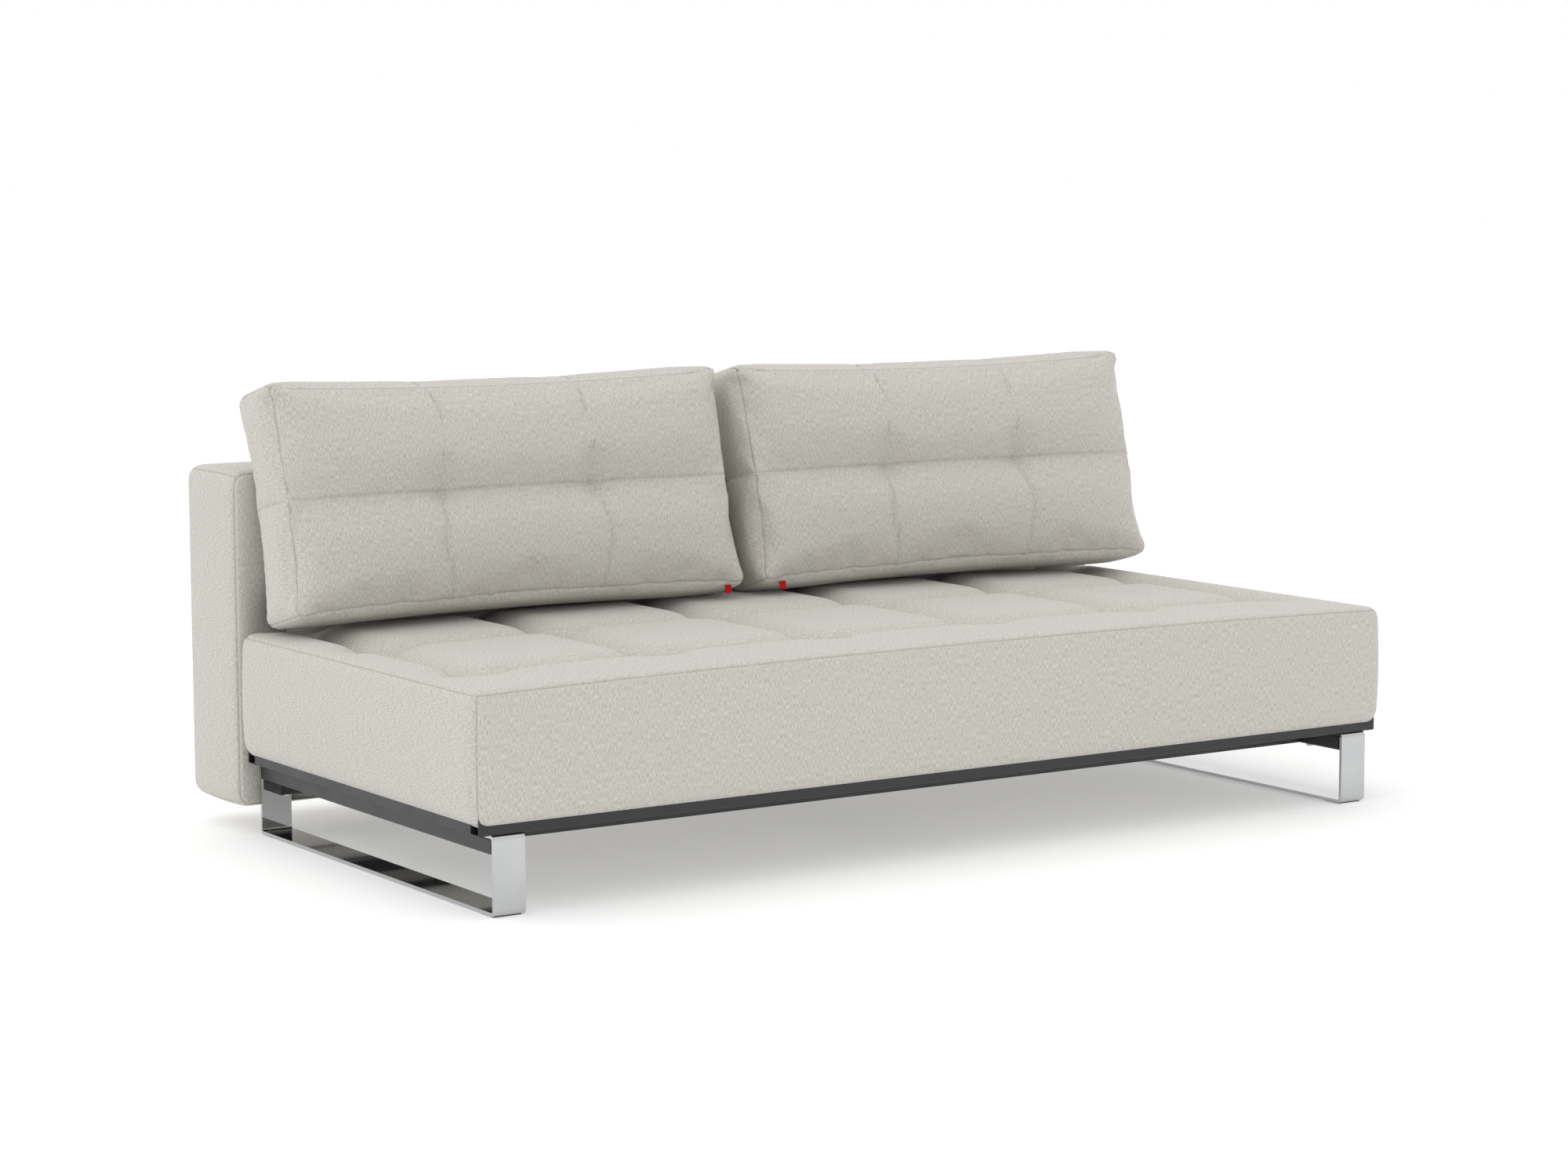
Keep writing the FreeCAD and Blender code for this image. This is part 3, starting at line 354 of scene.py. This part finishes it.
def dress_nodes(materials):
    """Give every CAD node the finish of its slot."""
    slots = {part["node"]: part["material_slot"] for part in frame["record"]["subparts"]}
    for name, node in nodes.items():
        node.data.materials.clear()
        node.data.materials.append(materials[slots[name]])


# Grid boxes
def graded(low, high, step, lines=()):
    """Even grid from low to high with extra lines clustered round the given places and ends."""
    count = max(2, round((high - low) / step))
    places = list(np.linspace(low, high, count + 1))
    for line in [low, high] + list(lines):
        places = [p for p in places if abs(p - line) > SEAM_OFFSETS[-1] * 1.3 or p in (low, high)]
        cluster = [line] + [line + s * o for o in SEAM_OFFSETS for s in (-1, 1)]
        places += [p for p in cluster if low < p < high]
    return np.array(sorted(set(round(float(p), 6) for p in places)))


def grid_box(xs, ys, zs):
    """Closed quad surface of a box on the given grid lines: points and faces."""
    sizes = (len(xs) - 1, len(ys) - 1, len(zs) - 1)
    index = {}
    points = []

    def vertex(i, j, k):
        key = (i, j, k)
        if key not in index:
            index[key] = len(points)
            points.append((xs[i], ys[j], zs[k]))
        return index[key]

    faces = []
    for axis in range(3):
        u, v = [a for a in range(3) if a != axis]
        for side in (0, sizes[axis]):
            for a in range(sizes[u]):
                for b in range(sizes[v]):
                    ring = []
                    for da, db in ((0, 0), (1, 0), (1, 1), (0, 1)):
                        key = [0, 0, 0]
                        key[axis], key[u], key[v] = side, a + da, b + db
                        ring.append(vertex(*key))
                    flip = (side == 0) != (axis == 1)
                    faces.append(ring[::-1] if flip else ring)
    return np.array(points), faces


def make_mesh(name, points, faces, material):
    mesh = bpy.data.meshes.new(name)
    mesh.from_pydata([tuple(p) for p in points], [], faces)
    mesh.validate()
    mesh.update()
    mesh.polygons.foreach_set("use_smooth", [True] * len(mesh.polygons))
    mesh.materials.append(material)
    piece = bpy.data.objects.new(name, mesh)
    bpy.context.scene.collection.objects.link(piece)
    return piece


def round_plan(p, low, high, radius):
    """Round the upright edges: squares of side radius at the corners become quarter discs."""
    inner = np.clip(p[:, :2], np.array(low) + radius, np.array(high) - radius)
    v = p[:, :2] - inner
    longest = np.abs(v).max(1)
    length = np.linalg.norm(v, axis=1)
    corner = (np.abs(v).min(1) > 1e-9)
    scale = np.where(corner, longest / np.maximum(length, 1e-9), 1.0)
    p[:, :2] = inner + v * scale[:, None]
    depth = radius - np.linalg.norm(p[:, :2] - inner, axis=1)
    inside = np.minimum(p[:, :2] - np.array(low), np.array(high) - p[:, :2]).min(1)
    depth = np.where(corner | (longest > 1e-9), depth, np.maximum(inside, radius))
    outward = p[:, :2] - inner
    norm = np.linalg.norm(outward, axis=1)
    outward = outward / np.maximum(norm, 1e-9)[:, None]
    return np.maximum(depth, 0.0), outward


def round_rim(p, depth, outward, z_edge, z_sign, radius):
    """Round the edge between the walls and the face at z_edge."""
    away = (z_edge - p[:, 2]) * z_sign
    near = (depth < radius) & (away < radius)
    a = np.clip((radius - depth) / radius, 0, 1)
    b = np.clip((radius - away) / radius, 0, 1)
    length = np.maximum(np.hypot(a, b), 1e-9)
    largest = np.maximum(a, b)
    # keep the distance from the inner line and turn the square into a quarter disc
    na, nb = a * largest / length, b * largest / length
    shift = (na - a) * radius
    p[:, :2] += np.where(near, shift, 0.0)[:, None] * outward
    p[:, 2] += np.where(near, (nb - b) * radius, 0.0) * z_sign


def falloff(distance, reach):
    """1 at a seam, 0 from reach on, with a crease at the seam."""
    t = np.clip(1.0 - np.abs(distance) / reach, 0, 1)
    return t * t


def smooth_step(t):
    t = np.clip(t, 0, 1)
    return t * t * (3 - 2 * t)


def quilt_depth(x, y, columns, rows, x_span, y_span):
    """How far the face is drawn in by the tufts and by the seams between them."""
    total = np.zeros_like(x)
    line = np.zeros_like(x)
    power = 3.0
    for column in columns:
        run = smooth_step((y - y_span[0]) / SEAM_RUN_IN)
        run = run * smooth_step((y_span[1] - y) / SEAM_RUN_OUT + 1)
        near_row = np.min([np.abs(y - row) for row in rows], axis=0)
        deep = SEAM_DRAW + SEAM_DRAW_NEAR_TUFT * np.exp(-(near_row / NEAR_TUFT) ** 2)
        total += (deep * run * falloff(x - column, SEAM_REACH)) ** power
        line = np.maximum(line, run * groove(x - column, STITCH_WIDTH, STITCH_DEPTH))
    for row in rows:
        run = smooth_step((x - x_span[0]) / SEAM_RUN_IN)
        run = run * smooth_step((x_span[1] - x) / SEAM_RUN_IN)
        near_column = np.min([np.abs(x - column) for column in columns], axis=0)
        deep = SEAM_DRAW + SEAM_DRAW_NEAR_TUFT * np.exp(-(near_column / NEAR_TUFT) ** 2)
        total += (deep * run * falloff(y - row, SEAM_REACH)) ** power
        line = np.maximum(line, run * groove(y - row, STITCH_WIDTH, STITCH_DEPTH))
    for column in columns:
        for row in rows:
            total += (TUFT_DRAW * falloff(np.hypot(x - column, y - row), TUFT_REACH)) ** power
    return total ** (1 / power) + line


def groove(distance, width, depth):
    return depth * np.exp(-(distance / width) ** 2)


def edge_seam(flat, low, high, seam_z):
    """Depth of the seams along the corners of the box and round its face at seam_z."""
    to_x = np.minimum(flat[:, 0] - low[0], high[0] - flat[:, 0])
    to_y = np.minimum(flat[:, 1] - low[1], high[1] - flat[:, 1])
    to_z = np.abs(flat[:, 2] - seam_z)
    upright = np.hypot(to_x, to_y)
    rim = np.hypot(np.minimum(to_x, to_y), to_z)
    return groove(np.minimum(upright, rim), EDGE_SEAM_WIDTH, EDGE_SEAM_DEPTH)


def push_in(piece, depth):
    """Move each vertex inwards along its normal."""
    mesh = piece.data
    normals = np.empty(len(mesh.vertices) * 3)
    mesh.vertices.foreach_get("normal", normals)
    places = np.empty(len(mesh.vertices) * 3)
    mesh.vertices.foreach_get("co", places)
    places -= normals * np.repeat(depth, 3)
    mesh.vertices.foreach_set("co", places)
    mesh.update()


# Seat
def make_seat(materials):
    columns = graded(-HALF_WIDTH, HALF_WIDTH, FACE_STEP, TUFT_COLUMNS)
    rows = graded(SEAT_FRONT, SEAT_REAR, FACE_STEP, TUFT_ROWS)
    levels = graded(SEAT_BOTTOM, RIM_Z, WALL_STEP)
    p, faces = grid_box(columns, rows, levels)
    on_top = p[:, 2] > RIM_Z - 1e-6
    flat = p.copy()
    depth, outward = round_plan(p, (-HALF_WIDTH, SEAT_FRONT), (HALF_WIDTH, SEAT_REAR),
                                SEAT_CORNER_RADIUS)
    round_rim(p, depth, outward, SEAT_BOTTOM, -1, SEAT_FOOT_RADIUS)
    round_rim(p, depth, outward, RIM_Z, 1, SEAT_RIM_RADIUS)
    height = (p[:, 2] - SEAT_BOTTOM) / (RIM_Z - SEAT_BOTTOM)
    across = flat[:, 0] / HALF_WIDTH
    # front and ends bulge a little between their seams
    belly = np.sin(np.clip(height, 0, 1) * math.pi)
    p[:, :2] -= outward * (BELLY * (1 - belly))[:, None]
    # the rim climbs from the corners to the middle
    lift = SEAT_RIM_LIFT * (1 - np.abs(across) ** 2.5)
    p[:, 2] += lift * smooth_step(height)
    edge = np.minimum(np.minimum(flat[:, 0] + HALF_WIDTH, HALF_WIDTH - flat[:, 0]),
                      np.minimum(flat[:, 1] - SEAT_FRONT, SEAT_REAR - flat[:, 1]))
    crown = SEAT_CROWN * smooth_step(edge / CROWN_REACH)
    sink = quilt_depth(flat[:, 0], flat[:, 1], TUFT_COLUMNS, TUFT_ROWS + [SEAT_REAR + BEYOND_EDGE],
                       (-SEAM_END_X, SEAM_END_X), (TUFT_ROWS[0] - SEAM_RUN_IN, SEAT_REAR + 1))
    sink = sink * smooth_step(edge / FLAT_RIM + RIM_SHARE)
    p[:, 2] += np.where(on_top, crown - sink, 0.0)
    piece = make_mesh("seat_upholstery", p, faces, materials["upholstery"])
    push_in(piece, edge_seam(flat, (-HALF_WIDTH, SEAT_FRONT), (HALF_WIDTH, SEAT_REAR), RIM_Z))
    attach(piece, "seat")
    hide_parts("seat_cover")


# Back, modelled lying on its rear face and then stood up
def make_back(materials):
    thick = BACK_REAR - BACK_FRONT
    tall = BACK_TOP - BACK_BOTTOM
    columns = graded(-HALF_WIDTH, HALF_WIDTH, FACE_STEP, TUFT_COLUMNS)
    rows = graded(0, tall, FACE_STEP, [BACK_TUFT_HEIGHT])
    levels = graded(0, thick, WALL_STEP)
    p, faces = grid_box(columns, rows, levels)
    on_face = p[:, 2] > thick - 1e-6
    flat = p.copy()
    depth, outward = round_plan(p, (-HALF_WIDTH, 0), (HALF_WIDTH, tall), BACK_CORNER_RADIUS)
    round_rim(p, depth, outward, 0.0, -1, BACK_REAR_RADIUS)
    round_rim(p, depth, outward, thick, 1, BACK_RIM_RADIUS)
    height = p[:, 2] / thick
    belly = np.sin(np.clip(height, 0, 1) * math.pi)
    p[:, :2] -= outward * (BELLY * (1 - belly))[:, None]
    edge = np.minimum(np.minimum(flat[:, 0] + HALF_WIDTH, HALF_WIDTH - flat[:, 0]),
                      np.minimum(flat[:, 1], tall - flat[:, 1]))
    sink = quilt_depth(flat[:, 0], flat[:, 1], TUFT_COLUMNS, [-BEYOND_EDGE, BACK_TUFT_HEIGHT],
                       (-SEAM_END_X, SEAM_END_X), (-SEAM_RUN_IN, BACK_TUFT_HEIGHT + SEAM_RUN_IN))
    sink = sink * smooth_step(edge / FLAT_RIM + RIM_SHARE)
    p[:, 2] += np.where(on_face, BACK_CROWN * smooth_step(edge / CROWN_REACH) - sink, 0.0)
    upright = np.stack([p[:, 0], BACK_REAR - p[:, 2], BACK_BOTTOM + p[:, 1]], axis=1)
    piece = make_mesh("back_upholstery", upright, faces, materials["upholstery"])
    push_in(piece, edge_seam(flat, (-HALF_WIDTH, 0), (HALF_WIDTH, tall), thick))
    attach(piece, "back")
    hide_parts("back_cover")


# Cushions
def inflate(piece, hold, pressure, growth, frames, cap):
    """Blow the cover up as cloth. hold is how firmly each vertex keeps its place."""
    mesh = piece.data
    group = piece.vertex_groups.new(name="hold")
    for level in sorted(set(np.round(hold, 1))):
        if level > 0:
            group.add(np.nonzero(np.round(hold, 1) == level)[0].tolist(), float(level), "REPLACE")
    start = np.empty(len(mesh.vertices) * 3)
    mesh.vertices.foreach_get("co", start)
    cloth = piece.modifiers.new("cloth", "CLOTH")
    settings = cloth.settings
    settings.quality = 5
    settings.mass = 0.3
    settings.tension_stiffness = 12
    settings.compression_stiffness = 12
    settings.shear_stiffness = 4
    settings.bending_stiffness = 0.25
    settings.use_pressure = True
    settings.uniform_pressure_force = pressure
    settings.shrink_min = -growth
    settings.vertex_group_mass = "hold"
    settings.effector_weights.gravity = 0
    cloth.collision_settings.use_collision = False
    cloth.point_cache.frame_end = frames
    scene = bpy.context.scene
    for step in range(1, frames + 1):
        scene.frame_set(step)
    shape = piece.evaluated_get(bpy.context.evaluated_depsgraph_get()).data
    end = np.empty(len(mesh.vertices) * 3)
    shape.vertices.foreach_get("co", end)
    move = (end - start).reshape(-1, 3)
    length = np.linalg.norm(move, axis=1)
    move *= np.minimum(1.0, cap / np.maximum(length, 1e-9))[:, None]
    piece.modifiers.clear()
    piece.vertex_groups.clear()
    scene.frame_set(1)
    mesh.vertices.foreach_set("co", start + move.ravel())
    mesh.update()


def crease_line(y, line, bend):
    """X of the sewn pleat through a tuft: an S from the top seam to the bottom one."""
    t = y / CUSHION_H * 2 - 1
    return line + bend * np.sin(math.pi * t)


def make_cushion(side, centre_x, materials):
    half = CUSHION_W / 2
    lines = [-CUSHION_W / 6, CUSHION_W / 6]
    xs = graded(-half, half, FACE_STEP, lines)
    ys = graded(0, CUSHION_H, FACE_STEP, [CUSHION_H / 2])
    zs = graded(0, CUSHION_T, WALL_STEP)
    p, faces = grid_box(xs, ys, zs)
    flat = p.copy()
    depth, outward = round_plan(p, (-half, 0), (half, CUSHION_H), CUSHION_CORNER_RADIUS)
    round_rim(p, depth, outward, 0.0, -1, CUSHION_REAR_RADIUS)
    round_rim(p, depth, outward, CUSHION_T, 1, CUSHION_RIM_RADIUS)
    u = flat[:, 0] / half
    v = flat[:, 1] / CUSHION_H * 2 - 1
    w = flat[:, 2] / CUSHION_T * 2 - 1
    fill = (1 - np.abs(u) ** 3.0) * (1 - np.abs(v) ** 2.6)
    front = np.clip(w, 0, 1)
    rear = np.clip(-w, 0, 1)
    mid = falloff(flat[:, 1] - CUSHION_H / 2, CUSHION_SEAM_REACH) * (1 - np.abs(u) ** 6)
    draw = CUSHION_SEAM_DRAW * mid
    for line, bend in zip(lines, PLEAT_BENDS):
        from_tuft = np.hypot(flat[:, 0] - line, (v * 0.22))
        draw = draw + CUSHION_TUFT_DRAW * falloff(from_tuft, CUSHION_TUFT_REACH)
        pleat = crease_line(flat[:, 1], line, bend)
        draw = draw + 0.0008 * falloff(flat[:, 0] - pleat, 0.03) * (1 - v ** 4)
    p[:, 2] += front * (CUSHION_SWELL * fill - draw)
    p[:, 2] -= rear * CUSHION_REAR_SWELL * fill
    p[:, 0] -= np.sign(u) * CUSHION_DRAW_IN * (np.abs(u) ** 8) * (1 - v ** 2)
    p[:, 1] -= np.sign(v) * CUSHION_DRAW_IN * (np.abs(v) ** 8) * (1 - u ** 2)
    bottom = np.clip(-v, 0, 1) ** 8 * (1 - np.abs(w) ** 2.5)
    p[:, 1] -= CUSHION_SAG * bottom * (1 - u ** 8)
    low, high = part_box(side + "_cushion_cover")
    c, s = math.sin(LEAN), math.cos(LEAN)
    y = p[:, 1] * c - p[:, 2] * s
    z = p[:, 1] * s + p[:, 2] * c
    y += high.y - y.max() - INSIDE_CAD
    z += low.z - z.min() + INSIDE_CAD
    placed = np.stack([p[:, 0] + centre_x, y, z], axis=1)
    piece = make_mesh(side + "_cushion", placed, faces, materials["upholstery"])
    # seams hold, the rear and the underside rest on the sofa, the front face fills out
    seam = np.exp(-(v * CUSHION_H / 2 / 0.004) ** 2) * (w > 0.99)
    for line in lines:
        from_tuft = np.hypot(flat[:, 0] - line, v * CUSHION_H / 2)
        seam = np.maximum(seam, np.exp(-(from_tuft / 0.02) ** 2) * (w > 0))
    rest = np.maximum(w < -0.9, (v < -0.98) & (w < 0.8))
    hold = np.clip(np.maximum(seam, rest * 1.0), 0, 1)
    inflate(piece, hold, CLOTH_PRESSURE, CLOTH_GROWTH, CLOTH_FRAMES, CLOTH_LIMIT)
    face_seam = groove(v * CUSHION_H / 2, 0.0018, 0.0022) * (w > 0.99)
    for line, bend in zip(lines, PLEAT_BENDS):
        pleat = crease_line(flat[:, 1], line, bend)
        face_seam = np.maximum(face_seam, groove(flat[:, 0] - pleat, 0.003, 0.0003) * (w > 0.99))
    stitches = groove(v * CUSHION_H / 2 + 0.007, 0.0014, 0.0008) * (w > 0.99)
    face_seam = np.maximum(face_seam, stitches)
    rim = edge_seam(flat, (-half, 0), (half, CUSHION_H), CUSHION_T)
    push_in(piece, np.maximum(face_seam, rim))
    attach(piece, side + "_cushion")
    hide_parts(side + "_cushion_cover")


def make_tab(side, materials):
    """Folded tape sewn into the bottom seam, with soft edges."""
    tab = side + "_cushion_tab"
    mesh = nodes[tab].data.copy()
    piece = bpy.data.objects.new(side + "_tab", mesh)
    bpy.context.scene.collection.objects.link(piece)
    mesh.materials.clear()
    mesh.materials.append(materials["red_fabric"])
    bevel = piece.modifiers.new("edges", "BEVEL")
    bevel.width = 0.0007
    bevel.segments = 3
    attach(piece, side + "_cushion")
    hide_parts(tab)


# Stage, camera and light
def stage_material(name, colour):
    """Matte white with a little light of its own, so that the shadow stays a soft grey."""
    material, tree, shader = new_material(name)
    feed(tree, shader.inputs["Base Color"], colour)
    shader.inputs["Emission Color"].default_value = (1.0, 1.0, 1.0, 1.0)
    shader.inputs["Emission Strength"].default_value = FLOOR_GLOW
    shader.inputs["Roughness"].default_value = 1.0
    shader.inputs["Specular IOR Level"].default_value = 0.0
    return material


def make_stage():
    mesh = bpy.data.meshes.new("floor")
    corners = [(x * FLOOR_REACH, y * FLOOR_REACH, 0) for x, y in ((-1, -1), (1, -1), (1, 1), (-1, 1))]
    mesh.from_pydata(corners, [], [(0, 1, 2, 3)])
    floor = bpy.data.objects.new("floor", mesh)
    bpy.context.scene.collection.objects.link(floor)
    mesh.materials.append(stage_material("floor", (FLOOR_GREY,) * 3 + (1.0,)))


def set_world():
    world = bpy.data.worlds.new("studio")
    bpy.context.scene.world = world
    world.use_nodes = True
    background = world.node_tree.nodes["Background"]
    background.inputs["Color"].default_value = (1.0, 1.0, 1.0, 1.0)
    background.inputs["Strength"].default_value = 1.0


def make_lights():
    """One very soft key from the front left, over an even white surround."""
    data = bpy.data.lights.new("key", "SUN")
    data.energy = KEY_STRENGTH
    data.angle = KEY_ANGLE
    lamp = bpy.data.objects.new("key", data)
    bpy.context.scene.collection.objects.link(lamp)
    lamp.rotation_euler = KEY_HEADING.to_track_quat("-Z", "Y").to_euler()


def make_camera():
    forward = Vector((math.sin(CAMERA_YAW) * math.cos(CAMERA_PITCH),
                      math.cos(CAMERA_YAW) * math.cos(CAMERA_PITCH), -math.sin(CAMERA_PITCH)))
    right = Vector((math.cos(CAMERA_YAW), -math.sin(CAMERA_YAW), 0))
    up = right.cross(forward)
    rolled_right = right * math.cos(CAMERA_ROLL) + up * math.sin(CAMERA_ROLL)
    rolled_up = up * math.cos(CAMERA_ROLL) - right * math.sin(CAMERA_ROLL)
    data = bpy.data.cameras.new("camera")
    data.sensor_fit = "HORIZONTAL"
    data.sensor_width = SENSOR_MM
    data.lens = FOCAL_PX / PHOTO_WIDTH_PX * SENSOR_MM
    data.clip_end = 100.0
    camera = bpy.data.objects.new("camera", data)
    bpy.context.scene.collection.objects.link(camera)
    turn = Matrix((rolled_right, rolled_up, -forward)).transposed()
    camera.matrix_world = Matrix.Translation(CAMERA_AT) @ turn.to_4x4()
    bpy.context.scene.camera = camera


def main():
    materials = make_materials()
    dress_nodes(materials)
    make_seat(materials)
    make_back(materials)
    make_cushion("left", LEFT_CUSHION_X, materials)
    make_cushion("right", RIGHT_CUSHION_X, materials)
    make_tab("left", materials)
    make_tab("right", materials)
    make_stage()
    set_world()
    make_lights()
    make_camera()
    bpy.context.scene.view_settings.view_transform = "Standard"


main()
